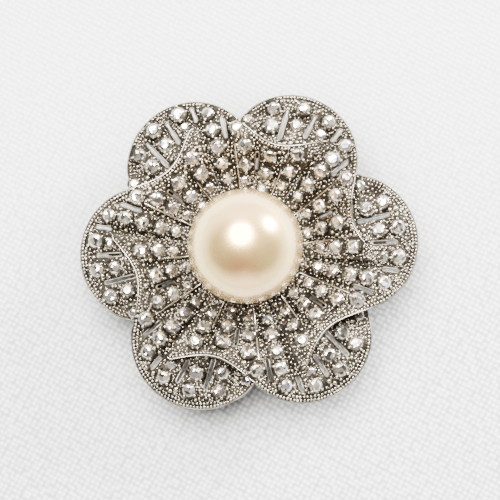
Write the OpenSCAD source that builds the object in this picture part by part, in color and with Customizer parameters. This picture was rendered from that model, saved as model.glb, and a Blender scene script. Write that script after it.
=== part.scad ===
// Flower hair clip: six overlapping cast petals set with stones round a large half-drilled
// pearl, riveted through a base disc onto the upper arm of a sprung alligator clip.
// Millimetres. The flower's axis is Z, the clip lies along X, and the closed clip's flat
// lower arm rests on Z = 0.

/* [Flower] */
// Radius of the pearl
pearl_r = 9; // [8:0.5:9.5]
// Distance from the flower's axis to the centre of a petal's round lobe
lobe_distance = 16.2; // [15.5:0.1:16.5]
// Radius of a petal's round lobe
lobe_r = 10.9; // [10.5:0.1:11.2]
// Thickness of the cast petals
petal_t = 0.9; // [0.8:0.05:1.0]
// Height that a petal climbs from the hub to its crest
bowl_rise = 3.8; // [3:0.1:4.2]
// How far the rim rolls down again outside the crest
rim_droop = 2.0; // [1:0.1:2.4]
// Extra height of the free edge that lies over the next petal
crest_lift = 0.6; // [0.3:0.1:1]
// How far the covered side of a petal sinks below the free edge over it
lap_sink = 1.0; // [0.6:0.1:1.4]

/* [Stones] */
// Radius of a large stone
large_r = 1.25; // [1.1:0.05:1.3]
// Radius of a small stone
small_r = 0.95; // [0.8:0.05:1.0]

/* [Clip] */
// Half the length of the clip
clip_reach = 23; // [21:0.5:24]
// Half the width of the arms
arm_half_w = 3.5; // [3.2:0.1:4]
// Thickness of the clip's steel strip
strip_t = 0.7; // [0.6:0.05:0.8]
// Clear height between the closed arms
arm_gap = 3.2; // [3.2:0.1:3.6]
// Upward slope of the upper thumb tab, in degrees
tab_slope = 10; // [6:1:10]

/* [Hidden] */
$fn = 64;
petal_count = 6;
sector = 360 / petal_count;
first_petal = 3.5;
// Each petal's reach, as a share of the nominal one
petal_reach = [1.02, 0.985, 0.975, 0.995, 1.015, 1.01];

// Heights of the stack, from the surface that the clip rests on
lower_top = strip_t;
upper_bottom = lower_top + arm_gap;
upper_top = upper_bottom + strip_t;
pad_t = 0.8;
pad_r = 8;
pad_top = upper_top + pad_t;
base_t = 1.0;
base_r = 9.2;
base_top = pad_top + base_t;
petal_datum = base_top + petal_t;
cup_r = 5;
cup_h = 1.8;
pearl_z = base_top + 0.6 + pearl_r;

// Petal sheet: angles are measured from the petal's own centre line
hub_r = 6.6;
flat_r = base_r + 0.2;
tuck_r = 15;
crest_r = 19;
end_angle = -sector - 9.6;
seam_angle = -10.2;
tuck_angle = 33;
fold_angle = -31;
dip_angle = -49;
dip_r = 17.8;
dip_curve = 0.0099;
fold_end_r = 21.3;
lap_gap = 0.14;

// Stone cut: shares of the stone's radius
stone_table = 0.56;
stone_crown = 0.28;
stone_girdle = 0.1;
stone_depth = 0.56;
stone_culet = 0.25;
seat_clear = 0.05;
seat_sides = 10;

// Stones and slots on one petal, as [angle, radius] and [angle, inner radius, outer radius]
large_seats = [
    [-62.5, 17], [-62.5, 14.2], [-47.5, 15.2], [-47.5, 12.5], [-32.5, 16.5], [-32.5, 13.7],
    [-28.5, 19.4], for (r = [14.3:2.8:22.7]) [-17.5, r], [-6.5, 24.3],
    [4.5, 24.4], [4.5, 21.5], [15.5, 23.1], [15.5, 20.3]
];
small_seats = [[-62.5, 11.8], [-47.5, 10.2], [-32.5, 11.3], [-17.5, 11.9], [26, 21], [-6.5, 22.1]];
slots = [[-40, 13.2, 15.4], [10, 18.6, 23.2], [-1, 20.4, 23.8], [-12, 22.2, 24.2], [-23, 18.2, 21.2]];
slot_r = 0.34;

// Hinge and spring
hinge_x = -9;
hinge_z = 2.3;
pin_r = 0.7;
pin_bore_r = pin_r + 0.06;
ear_t = 0.7;
ear_out_r = 1.5;
ear_in_r = 1.35;
head_r = 1.1;
head_t = 0.4;
wire_r = 0.28;
coil_r = 1.1;
coil_turns = 4.5;
coil_half = 1.5;
leg_end_x = -17;
tooth_pitch = 2;
tooth_h = 0.8;
tooth_gap = 0.12;
teeth_from = 3;
teeth_to = 19;
tooth_valley = (lower_top + upper_bottom) / 2 - tooth_h / 2 - tooth_gap / 2;

// ---------------------------------------------------------------- petal surface

function smooth(t) = let (c = max(0, min(1, t))) c * c * (3 - 2 * c);

// Outline of a petal: a round lobe, then the free edge that dips in over the next petal
function rim_r(a) =
    a > fold_angle
        ? lobe_distance * cos(a) + sqrt(pow(lobe_r, 2) - pow(lobe_distance * sin(a), 2))
        : min(fold_end_r, dip_r + dip_curve * pow(a - dip_angle, 2));

// Height of a petal's upper face
function petal_z(r, a) =
    petal_datum
    + bowl_rise * smooth((r - flat_r) / (crest_r - flat_r))
    - rim_droop * pow(max(0, r - crest_r) / 8, 2)
    + crest_lift * max(0, sin(180 * (-10 - a) / sector)) * smooth((r - 11) / 7)
    - (petal_t + lap_gap) * smooth((a + 16) / 5.8) * smooth((r - 12) / 3)
      * (1 - smooth((r - 22) / 2.5))
    - lap_sink * smooth((a + 10) / 40) * smooth((r - 12) / 3);

function at(r, a) = [r * cos(a), r * sin(a), petal_z(r, a)];

// Unit normal of the upper face, from two short steps on it
function normal(r, a) =
    let (
        out = at(r + 0.05, a) - at(r - 0.05, a),
        round = at(r, a + 0.2) - at(r, a - 0.2),
        n = cross(out, round)
    ) n / norm(n);

// ---------------------------------------------------------------- petal sheet

seam_columns = 12;
tuck_columns = 9;
inner_rows = 4;
outer_rows = 6;
column_angles = [
    for (i = [0:seam_columns]) end_angle + i * (-16 - end_angle) / seam_columns,
    -13.5, -11.8, seam_angle,
    for (i = [1:tuck_columns]) seam_angle + i * (tuck_angle - seam_angle) / tuck_columns
];
column_count = len(column_angles);
row_count = inner_rows + outer_rows + 1;
seam_column = seam_columns + 3;

function sheet_r(i, j, reach) =
    j <= inner_rows
        ? hub_r + (tuck_r - hub_r) * j / inner_rows
        : tuck_r + (rim_r(column_angles[i]) * reach - tuck_r) * (j - inner_rows) / outer_rows;

// Inside the tuck radius the sheet stops at the seam, where the petal before it begins
function is_cell(i, j) =
    i >= 0 && i < column_count - 1 && j >= 0 && j < row_count - 1
    && (i < seam_column || j >= inner_rows);

module petal_sheet(reach) {
    half = column_count * row_count;
    function id(i, j) = i * row_count + j;
    top = [
        for (i = [0:column_count - 1], j = [0:row_count - 1])
            at(sheet_r(i, j, reach), column_angles[i])
    ];
    cells = [
        for (i = [0:column_count - 2], j = [0:row_count - 2]) if (is_cell(i, j)) [i, j]
    ];
    // One wall panel from point p to point q of the upper face, down to the lower face
    function wall(p, q) = [[p, q, half + q], [p, half + q, half + p]];
    faces = [
        for (c = cells) let (
            a = id(c[0], c[1]), b = id(c[0] + 1, c[1]),
            d = id(c[0] + 1, c[1] + 1), e = id(c[0], c[1] + 1)
        ) each concat(
            [[a, b, d], [a, d, e], [half + a, half + d, half + b], [half + a, half + e, half + d]],
            is_cell(c[0], c[1] - 1) ? [] : wall(b, a),
            is_cell(c[0], c[1] + 1) ? [] : wall(e, d),
            is_cell(c[0] - 1, c[1]) ? [] : wall(a, e),
            is_cell(c[0] + 1, c[1]) ? [] : wall(d, b)
        )
    ];
    polyhedron(concat(top, [for (p = top) p - [0, 0, petal_t]]), faces, convexity = 6);
}

// Places its children on the upper face, with Z along the normal
module on_petal(seat) {
    n = normal(seat[1], seat[0]);
    translate(at(seat[1], seat[0]))
        rotate([0, acos(n[2]), atan2(n[1], n[0])]) children();
}

// Conical seat for a stone of radius r, open above and closed below
module seat(r) {
    open_r = (r + seat_clear) / cos(180 / seat_sides);
    hull() {
        translate([0, 0, 0.02]) cylinder(r = open_r, h = 1, $fn = seat_sides);
        translate([0, 0, -stone_depth * r - seat_clear])
            cylinder(r = stone_culet * open_r * 1.3, h = 0.01, $fn = seat_sides);
    }
}

module slot(s) {
    hull() for (r = [s[1], s[2]]) rotate([0, 0, s[0]])
        translate([r, 0, 0]) cylinder(r = slot_r, h = 20, $fn = 8);
}

module petal(k) {
    color("silver") rotate([0, 0, first_petal + sector * (k - 1)]) difference() {
        petal_sheet(petal_reach[k - 1]);
        for (s = large_seats) on_petal(s) seat(large_r);
        for (s = small_seats) on_petal(s) seat(small_r);
        for (s = slots) slot(s);
    }
}

// ---------------------------------------------------------------- stones

// A round brilliant: pavilion, girdle, crown and table, with the girdle just above the seat's mouth
module stone(r) {
    girdle_z = 0.08;
    rotate_extrude() polygon([
        [0, girdle_z - stone_depth * r],
        [stone_culet * r, girdle_z - stone_depth * r],
        [r, girdle_z],
        [r, girdle_z + stone_girdle * r],
        [stone_table * r, girdle_z + (stone_girdle + stone_crown) * r],
        [0, girdle_z + (stone_girdle + stone_crown) * r]
    ]);
}

module stones(k, seats, r) {
    color("white") rotate([0, 0, first_petal + sector * (k - 1)])
        for (s = seats) on_petal(s) stone(r);
}

// ---------------------------------------------------------------- pearl and base

module pearl() {
    color("ivory") difference() {
        translate([0, 0, pearl_z]) sphere(r = pearl_r);
        cylinder(r = pin_bore_r, h = pearl_z - 2.6);
    }
}

module pearl_cup() {
    color("silver") translate([0, 0, base_top]) difference() {
        cylinder(r = cup_r, h = cup_h);
        translate([0, 0, pearl_z - base_top]) sphere(r = pearl_r + 0.05);
        translate([0, 0, -1]) cylinder(r = pin_bore_r, h = 4);
    }
}

module peg_rivet() {
    head_h = 0.6;
    color("silver") {
        translate([0, 0, upper_bottom - head_h]) cylinder(r = 1.3, h = head_h);
        translate([0, 0, upper_bottom - head_h / 2])
            cylinder(r = pin_r, h = pearl_z - 3 - upper_bottom);
    }
}

module disc_with_bore(r, t, z) {
    translate([0, 0, z]) difference() {
        cylinder(r = r, h = t);
        translate([0, 0, -1]) cylinder(r = pin_bore_r, h = t + 2);
    }
}

module flower_base() {
    color("silver") disc_with_bore(base_r, base_t, pad_top);
}

module clip_pad() {
    color("silver") disc_with_bore(pad_r, pad_t, upper_top);
}

// ---------------------------------------------------------------- clip

// A row of teeth along both edges of an arm, from z_root to a zigzag that starts at z_valley
module tooth_row(z_root, z_valley) {
    count = round((teeth_to - teeth_from) / tooth_pitch);
    for (side = [-1, 1])
        translate([0, side > 0 ? arm_half_w : -arm_half_w + strip_t, 0])
            rotate([90, 0, 0]) linear_extrude(strip_t) polygon(concat(
                [[teeth_from, z_root]],
                [for (i = [0:count - 1], half = [0, 1])
                    [teeth_from + (i + half / 2) * tooth_pitch, z_valley + half * tooth_h]],
                [[teeth_to, z_valley], [teeth_to, z_root]]
            ));
}

// Flat outline of an arm's front part, with a round tip
module arm_outline(from_x) {
    translate([from_x, -arm_half_w])
        square([clip_reach - arm_half_w - from_x, 2 * arm_half_w]);
    translate([clip_reach - arm_half_w, 0]) circle(r = arm_half_w);
}

// A thumb tab that ends in a round, from the hinge back
module tab_outline(length) {
    translate([-length, -arm_half_w]) square([length, 2 * arm_half_w]);
    translate([-length, 0]) circle(r = arm_half_w);
}

// A plate standing in XZ at side * y, of thickness ear_t, cut from the children's outline
module ears(y_in) {
    for (side = [-1, 1])
        translate([0, side > 0 ? y_in + ear_t : -y_in, 0])
            rotate([90, 0, 0]) linear_extrude(ear_t) children();
}

module upper_arm() {
    tab_x = hinge_x - 2;
    tab_l = tab_x + clip_reach - arm_half_w;
    color("gainsboro") difference() {
        union() {
            translate([0, 0, upper_bottom]) linear_extrude(strip_t) arm_outline(tab_x);
            translate([tab_x, 0, upper_bottom]) rotate([0, tab_slope, 0])
                linear_extrude(strip_t) tab_outline(tab_l);
            tooth_row(upper_bottom + 0.1, tooth_valley + tooth_gap);
            ears(arm_half_w - ear_t) {
                translate([hinge_x, hinge_z]) circle(r = ear_in_r);
                translate([hinge_x - ear_in_r, hinge_z])
                    square([2 * ear_in_r, upper_bottom + 0.1 - hinge_z]);
            }
        }
        translate([hinge_x, 0, hinge_z]) rotate([90, 0, 0])
            cylinder(r = pin_bore_r, h = 20, center = true);
        translate([0, 0, upper_bottom - 1]) cylinder(r = pin_bore_r, h = 3);
    }
}

module lower_arm() {
    ear_y = arm_half_w + 0.1;
    color("gainsboro") difference() {
        union() {
            linear_extrude(strip_t) {
                arm_outline(hinge_x);
                translate([hinge_x, 0]) tab_outline(hinge_x + clip_reach - arm_half_w);
                translate([hinge_x - 3, -ear_y - ear_t]) square([6, 2 * (ear_y + ear_t)]);
            }
            tooth_row(strip_t - 0.1, tooth_valley);
            ears(ear_y) {
                translate([hinge_x, hinge_z]) circle(r = ear_out_r);
                translate([hinge_x - ear_out_r, 0.1]) square([2 * ear_out_r, hinge_z - 0.1]);
            }
        }
        translate([hinge_x, 0, hinge_z]) rotate([90, 0, 0])
            cylinder(r = pin_bore_r, h = 20, center = true);
    }
}

module hinge_pin() {
    outer_y = arm_half_w + 0.1 + ear_t + 0.05;
    color("gainsboro") translate([hinge_x, 0, hinge_z]) rotate([90, 0, 0]) {
        cylinder(r = pin_r, h = 2 * outer_y, center = true);
        for (side = [-1, 1]) translate([0, 0, side * (outer_y + head_t / 2)])
            cylinder(r = head_r, h = head_t, center = true);
    }
}

// Wire of the torsion spring: upper leg, coil round the pin, lower leg
function coil_point(turn) = [
    hinge_x + coil_r * sin(360 * turn),
    coil_half - 2 * coil_half * turn / coil_turns,
    hinge_z + coil_r * cos(360 * turn)
];
coil_steps = 13;
upper_leg_z = upper_bottom - (leg_end_x - hinge_x + 2) * tan(tab_slope) - wire_r - 0.08;
lower_leg_z = lower_top + wire_r + 0.08;
wire_path = concat(
    [[leg_end_x, coil_half, upper_leg_z], [leg_end_x + 4, coil_half, upper_leg_z - 0.7]],
    [for (i = [0:coil_steps * coil_turns]) coil_point(i / coil_steps)],
    [[leg_end_x + 4, -coil_half, lower_leg_z + 0.02], [leg_end_x, -coil_half, lower_leg_z]]
);

// Tube of radius r along a path, its rings square to the path
module tube(path, r, sides = 8) {
    last = len(path) - 1;
    rings = [
        for (i = [0:last]) let (
            d = path[min(last, i + 1)] - path[max(0, i - 1)],
            t = d / norm(d),
            side = cross([0, 1, 0], t) / norm(cross([0, 1, 0], t)),
            up = cross(t, side)
        ) for (j = [0:sides - 1])
            path[i] + r * (cos(360 * j / sides) * side + sin(360 * j / sides) * up)
    ];
    faces = concat(
        [[for (j = [0:sides - 1]) j]],
        [for (i = [0:last - 1], j = [0:sides - 1]) let (k = (j + 1) % sides)
            [i * sides + j, (i + 1) * sides + j, (i + 1) * sides + k, i * sides + k]],
        [[for (j = [sides - 1:-1:0]) last * sides + j]]
    );
    polyhedron(rings, faces, convexity = 8);
}

module torsion_spring() {
    color("gray") tube(wire_path, wire_r);
}

// ---------------------------------------------------------------- nodes

for (k = [1:petal_count]) {
    petal(k);
    stones(k, large_seats, large_r);
    stones(k, small_seats, small_r);
}
pearl();
pearl_cup();
peg_rivet();
flower_base();
clip_pad();
upper_arm();
lower_arm();
hinge_pin();
torsion_spring();
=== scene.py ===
"""Flower hair clip: stone-set silver petals round a pearl, on a sprung alligator clip."""
import math

import bpy
import numpy as np
from bpy.props import FloatProperty, FloatVectorProperty, IntProperty, PointerProperty
from mathutils import Matrix, Vector


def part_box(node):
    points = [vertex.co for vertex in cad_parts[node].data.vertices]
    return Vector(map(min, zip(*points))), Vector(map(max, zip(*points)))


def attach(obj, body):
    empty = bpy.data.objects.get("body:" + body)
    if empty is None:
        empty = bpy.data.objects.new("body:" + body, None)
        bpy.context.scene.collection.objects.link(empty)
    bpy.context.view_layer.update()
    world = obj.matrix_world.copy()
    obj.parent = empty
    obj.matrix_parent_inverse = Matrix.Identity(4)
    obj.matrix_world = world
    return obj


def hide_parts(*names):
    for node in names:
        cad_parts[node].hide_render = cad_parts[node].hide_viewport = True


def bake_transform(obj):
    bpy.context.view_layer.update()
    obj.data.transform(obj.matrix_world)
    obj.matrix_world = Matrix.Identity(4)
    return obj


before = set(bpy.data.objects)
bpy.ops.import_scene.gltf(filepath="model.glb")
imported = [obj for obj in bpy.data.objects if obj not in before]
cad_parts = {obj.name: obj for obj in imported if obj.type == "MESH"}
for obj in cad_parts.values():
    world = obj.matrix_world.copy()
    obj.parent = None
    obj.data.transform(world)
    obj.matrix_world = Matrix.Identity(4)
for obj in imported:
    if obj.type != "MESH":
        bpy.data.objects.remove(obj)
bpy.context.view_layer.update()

bl_info = {
    "name": "Flower Hair Clip",
    "version": (1, 0, 0),
    "blender": (4, 5, 0),
    "location": "View3D > Sidebar > Hair Clip",
    "description": "Builds a stone-set flower hair clip with a pearl round its packed frame",
    "category": "Add Mesh",
}

MM = 0.001

# Petals: angles in degrees from a petal's own centre line, lengths in millimetres
PETALS = 6
SECTOR = 360 / PETALS
FIRST_PETAL = 3.5
REACHES = (1.02, 0.985, 0.975, 0.995, 1.015, 1.01)
BASE_TOP = 6.4
FLAT_RADIUS = 9.4
HUB_RADIUS = 6.6
TUCK_RADIUS = 15.0
CREST_RADIUS = 19.0
END_ANGLE = -SECTOR - 9.6
SEAM_ANGLE = -10.2
TUCK_ANGLE = 33.0
FOLD_ANGLE = -31.0
DIP_ANGLE = -49.0
DIP_RADIUS = 17.8
DIP_CURVE = 0.0099
FOLD_END_RADIUS = 21.3
LAP_GAP = 0.14
DROOP_SPAN = 8
LIFT_ANGLE = -10

# Where a change of height begins and over what span, across the radius or round the petal
LIFT_RADII = (11, 7)
LAP_ANGLES = (-16, 5.8)
LAP_END_RADII = (22, 2.5)
SINK_RADII = (12, 3)
SINK_ANGLES = (-10, 40)
GROOVE_RADII = (8, 4)
GROOVE_MARGIN = (0.5, 2)

# Grid of a petal's sheet
TUCKED_COLUMNS = 36
OPEN_COLUMNS = 96
ROWS = 40
INNER_ROWS = 18
PETAL_EASE = 0.12

# Grooves between the rays of stones, as (angle, depth)
CREASES = ((-54.6, 0.6), (-40, 0.35), (-24.4, 0.65), (-12, 0.4), (-1, 0.3), (10, 0.3), (21, 0.35))
CREASE_WIDTH = 1.7

# Ribs beside the grooves, as (angle, inner radius, outer radius)
RIBS = ((-57.2, 9.3, 14.0), (-27.2, 9.3, 17.8))
RIB_RADIUS = 0.15
RIB_LIFT = 0.05

# Smooth wires along the edges and round the slots, and how high each one's middle is above the sheet
SLOT_WIRE_RADIUS = 0.14
SLOT_WIRE_INSET = 0.03
SLOT_WIRE_LIFT = 0.03
EDGE_WIRE_INSET = 0.12
EDGE_WIRE_LIFT = 0.02
WIRE_STEP = 0.35

# Stones as (angle, radius) and slots as (angle, inner radius, outer radius)
LARGE_SEATS = (
    (-62.5, 17.0), (-62.5, 14.2), (-47.5, 15.2), (-47.5, 12.5), (-32.5, 16.5), (-32.5, 13.7),
    (-28.5, 19.4), (-17.5, 22.7), (-17.5, 19.9), (-17.5, 17.1), (-17.5, 14.3), (-6.5, 24.3),
    (4.5, 24.4), (4.5, 21.5), (15.5, 23.1), (15.5, 20.3),
)
SMALL_SEATS = ((-62.5, 11.8), (-47.5, 10.2), (-32.5, 11.3), (-17.5, 11.9), (26, 21.0), (-6.5, 22.1))
SLOTS = ((-40, 13.2, 15.4), (10, 18.6, 23.2), (-1, 20.4, 23.8), (-12, 22.2, 24.2), (-23, 18.2, 21.2))
SLOT_RADIUS = 0.34
CUT_MAP = "cut"
GIRDLE_SHARE = 0.93

# How far a stone is set off its place, off square and off its size
STONE_SLIP = 0.1
STONE_LEAN = 0.17
STONE_SCALES = (0.88, 1.04)

# Milgrain rows as (inset from the edge, step in bead radii): one along the whole edge, one along the lobe
EDGE_ROW = (0.5, 1.9)
LOBE_ROW = (1.06, 2.0)
ROW_BEAD = 0.95

# Fill beads as (share of the milgrain bead's radius, number of tries)
FILL_BEADS = ((1.7, 160), (1.3, 500), (0.95, 3500), (0.65, 6000))
FILL_ANGLES = (END_ANGLE, 30)
FILL_REACH = 27
BEAD_SLIP = 0.04
BEAD_SCALES = (0.85, 1.1)

# Pearl
DRILL_RADIUS = 0.76
# Centre of the darker rosy reflection painted on the pearl's upper face, in millimetres
PAINTED_REFLECTION_PLACE = (-0.4, -3.6, 24.0)

# Hinge and spring
HINGE = (-9.0, 0.0, 2.3)
COIL_RADIUS = 1.1
COIL_TURNS = 4.5
COIL_HALF = 1.5
COIL_POINTS = 110
SPRING_WIRE_RADIUS = 0.28
LEG_END = -17.0
LEG_LENGTH = 4.0
UPPER_LEG_HEIGHT = 4.6
UPPER_LEG_DROP = 0.7
LOWER_LEG_HEIGHT = 1.06
LOWER_LEG_RISE = 0.02

# Eased edges of the metal pieces
CUP_EASE = 0.1
PEG_EASE = 0.12
DISC_EASE = 0.15
ARM_EASE = 0.1
PIN_EASE = 0.12

# Edges sharper than these are bevelled, and shaded as edges
BEVEL_ANGLE = math.radians(50)
SHARP_ANGLE = math.radians(35)
TURNED_SHARP_ANGLE = math.radians(40)


# ---------------------------------------------------------------- sizes and colours

class FlowerSizes(bpy.types.PropertyGroup):
    lobe_distance: FloatProperty(
        name="Lobe distance", description="From the flower's axis to the centre of a petal's round lobe",
        default=16.2 * MM, unit="LENGTH", precision=5)
    lobe_radius: FloatProperty(
        name="Lobe radius", description="Radius of a petal's round lobe",
        default=10.9 * MM, unit="LENGTH", precision=5)
    petal_thickness: FloatProperty(
        name="Petal thickness", description="Thickness of the cast petals",
        default=0.9 * MM, unit="LENGTH", precision=5)
    bowl_rise: FloatProperty(
        name="Bowl rise", description="Height that a petal climbs from the hub to its crest",
        default=3.8 * MM, unit="LENGTH", precision=5)
    rim_droop: FloatProperty(
        name="Rim droop", description="How far the rim rolls down again outside the crest",
        default=2.0 * MM, unit="LENGTH", precision=5)
    crest_lift: FloatProperty(
        name="Crest lift", description="Extra height of the free edge that lies over the next petal",
        default=0.6 * MM, unit="LENGTH", precision=5)
    lap_sink: FloatProperty(
        name="Lap sink", description="How far the covered side sinks below the free edge over it",
        default=1.0 * MM, unit="LENGTH", precision=5)
    wire_radius: FloatProperty(
        name="Edge wire", description="Radius of the smooth wire along a petal's edges",
        default=0.1 * MM, unit="LENGTH", precision=5)


class StoneSizes(bpy.types.PropertyGroup):
    large_radius: FloatProperty(
        name="Large stone", description="Radius of a large stone",
        default=1.25 * MM, unit="LENGTH", precision=5)
    small_radius: FloatProperty(
        name="Small stone", description="Radius of a small stone",
        default=0.95 * MM, unit="LENGTH", precision=5)
    bead_radius: FloatProperty(
        name="Bead", description="Radius of a milgrain bead",
        default=0.29 * MM, unit="LENGTH", precision=5)
    seed: IntProperty(name="Seed", description="Changes the random shifts of stones and beads", default=7)


class Finishes(bpy.types.PropertyGroup):
    silver: FloatVectorProperty(
        name="Silver", description="Colour of the bright silver",
        subtype="COLOR", default=(0.79, 0.73, 0.615))
    patina: FloatVectorProperty(
        name="Patina", description="Colour of the darkened recesses",
        subtype="COLOR", default=(0.019, 0.0165, 0.0125))
    stone: FloatVectorProperty(
        name="Stone", description="Colour of the clear stones",
        subtype="COLOR", default=(1.0, 0.925, 0.8))
    pearl: FloatVectorProperty(
        name="Pearl", description="Body colour of the pearl",
        subtype="COLOR", default=(0.88, 0.62, 0.23))
    steel: FloatVectorProperty(
        name="Steel", description="Colour of the plated clip",
        subtype="COLOR", default=(0.46, 0.45, 0.44))


# ---------------------------------------------------------------- petal surface

def smooth(value, start, span):
    """Rises softly from 0 to 1 as value goes from start over that span."""
    t = np.clip((value - start) / span, 0, 1)
    return t * t * (3 - 2 * t)


def rim(a):
    """Outline radius of a petal: a round lobe, then the free edge that dips in over the next petal."""
    sizes = bpy.context.scene.flower_sizes
    distance, radius = sizes.lobe_distance / MM, sizes.lobe_radius / MM
    angle = np.radians(a)
    inside = np.maximum(radius ** 2 - (distance * np.sin(angle)) ** 2, 0)
    lobe = distance * np.cos(angle) + np.sqrt(inside)
    fold = np.minimum(FOLD_END_RADIUS, DIP_RADIUS + DIP_CURVE * (a - DIP_ANGLE) ** 2)
    return np.where(a > FOLD_ANGLE, lobe, fold)


def height(r, a):
    """Height of a petal's upper face, in millimetres."""
    sizes = bpy.context.scene.flower_sizes
    thickness = sizes.petal_thickness / MM
    wave = np.maximum(0, np.sin(np.radians(180 * (LIFT_ANGLE - a) / SECTOR)))
    sunk = smooth(r, *SINK_RADII)
    return (
        BASE_TOP + thickness
        + sizes.bowl_rise / MM * smooth(r, FLAT_RADIUS, CREST_RADIUS - FLAT_RADIUS)
        - sizes.rim_droop / MM * (np.maximum(0, r - CREST_RADIUS) / DROOP_SPAN) ** 2
        + sizes.crest_lift / MM * wave * smooth(r, *LIFT_RADII)
        - (thickness + LAP_GAP) * smooth(a, *LAP_ANGLES) * sunk * (1 - smooth(r, *LAP_END_RADII))
        - sizes.lap_sink / MM * smooth(a, *SINK_ANGLES) * sunk
    )


def creased(r, a):
    """Height of the upper face with the grooves between the rays of stones."""
    depth = sum(deep * np.exp(-((a - at) / CREASE_WIDTH) ** 2) for at, deep in CREASES)
    return height(r, a) - depth * smooth(r, *GROOVE_RADII) * smooth(rim(a) - r, *GROOVE_MARGIN)


def on_surface(r, a, shape=height):
    angle = np.radians(a)
    return np.stack([r * np.cos(angle), r * np.sin(angle), shape(r, a)], axis=-1)


def local_axes(r, a):
    """Unit vectors on the upper face: outward, round and normal."""
    step, turn = 0.05, 0.2
    out = on_surface(r + step, a) - on_surface(r - step, a)
    round_ = on_surface(r, a + turn) - on_surface(r, a - turn)
    out /= np.linalg.norm(out, axis=-1, keepdims=True)
    normal = np.cross(out, round_)
    normal /= np.linalg.norm(normal, axis=-1, keepdims=True)
    return out, np.cross(normal, out), normal


def polar(points):
    return np.hypot(points[:, 0], points[:, 1]), np.degrees(np.arctan2(points[:, 1], points[:, 0]))


# ---------------------------------------------------------------- modelling helpers

def deselect():
    for o in list(bpy.context.selected_objects):
        o.select_set(False)
    bpy.context.view_layer.objects.active = None


def activate(obj, *others):
    deselect()
    for o in (obj, *others):
        o.select_set(True)
    bpy.context.view_layer.objects.active = obj


def named(obj, name):
    obj.name = name
    obj.data.name = name
    return obj


def remove(*objs):
    for o in objs:
        bpy.data.objects.remove(o)


def coordinates(mesh):
    co = np.empty(len(mesh.vertices) * 3)
    mesh.vertices.foreach_get("co", co)
    return co.reshape(-1, 3)


def place_vertices(obj, co):
    obj.data.vertices.foreach_set("co", np.ascontiguousarray(co, np.float32).ravel())
    obj.data.update()


def select_faces(obj, wanted):
    """Selects the faces for which wanted(centre, normal) is true, and leaves the object in edit mode."""
    activate(obj)
    bpy.ops.object.mode_set(mode="EDIT")
    bpy.ops.mesh.select_mode(type="FACE")
    bpy.ops.mesh.select_all(action="DESELECT")
    bpy.ops.object.mode_set(mode="OBJECT")
    for face in obj.data.polygons:
        face.select = bool(wanted(face.center, face.normal))
    bpy.ops.object.mode_set(mode="EDIT")


def object_mode():
    bpy.ops.object.mode_set(mode="OBJECT")


def pull_face(up, scale):
    """Extrudes the selected face along Z and scales it."""
    bpy.ops.mesh.extrude_region_move(TRANSFORM_OT_translate={"value": (0, 0, up)})
    bpy.ops.transform.resize(value=(scale, scale, 1))


def modify(obj, kind, **settings):
    activate(obj)
    modifier = obj.modifiers.new(kind.title(), kind)
    for key, value in settings.items():
        setattr(modifier, key, value)
    bpy.ops.object.modifier_apply(modifier=modifier.name)


def cut(obj, *cutters):
    for cutter in cutters:
        modify(obj, "BOOLEAN", operation="DIFFERENCE", solver="EXACT", object=cutter)
    remove(*cutters)


def join(obj, *others):
    activate(obj, *others)
    bpy.ops.object.join()
    return obj


def wire(name, points, radius, closed=False, sides=8):
    """A round wire of that radius along points, in metres."""
    curve = bpy.data.curves.new(name, "CURVE")
    curve.dimensions = "3D"
    curve.bevel_depth = radius
    curve.bevel_resolution = max(0, sides // 4 - 1)
    curve.use_fill_caps = not closed
    spline = curve.splines.new("POLY")
    spline.points.add(len(points) - 1)
    spline.points.foreach_set("co", np.c_[points, np.ones(len(points))].ravel())
    spline.use_cyclic_u = closed
    obj = bpy.data.objects.new(name, curve)
    bpy.context.scene.collection.objects.link(obj)
    activate(obj)
    bpy.ops.object.convert(target="MESH")
    bpy.ops.object.shade_smooth()
    return bpy.context.object


def stamp(name, seed, places, turns, scales, surfaces):
    """One mesh that holds a copy of seed at each place, turned to each set of axes."""
    co = coordinates(seed.data)
    spots = np.einsum("nij,vj->nvi", turns * scales[:, None, None], co) + places[:, None, :]
    loops = [list(p.vertices) for p in seed.data.polygons]
    faces = [[v + k * len(co) for v in loop] for k in range(len(places)) for loop in loops]
    mesh = bpy.data.meshes.new(name)
    mesh.from_pydata(spots.reshape(-1, 3).tolist(), [], faces)
    smooth_faces = np.tile([p.use_smooth for p in seed.data.polygons], len(places))
    mesh.polygons.foreach_set("use_smooth", smooth_faces)
    slots = np.tile([p.material_index for p in seed.data.polygons], len(places))
    mesh.polygons.foreach_set("material_index", slots.astype(np.int32))
    for surface in surfaces:
        mesh.materials.append(surface)
    mesh.update()
    obj = bpy.data.objects.new(name, mesh)
    bpy.context.scene.collection.objects.link(obj)
    return obj


def finish_piece(obj, name, body, node, angle=0):
    """Turns a finished piece about the flower's axis and hands it to the frame."""
    named(obj, name)
    if angle:
        obj.data.transform(Matrix.Rotation(math.radians(angle), 4, "Z"))
        obj.data.update()
    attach(obj, body)
    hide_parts(node)
    return obj


# ---------------------------------------------------------------- materials

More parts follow.
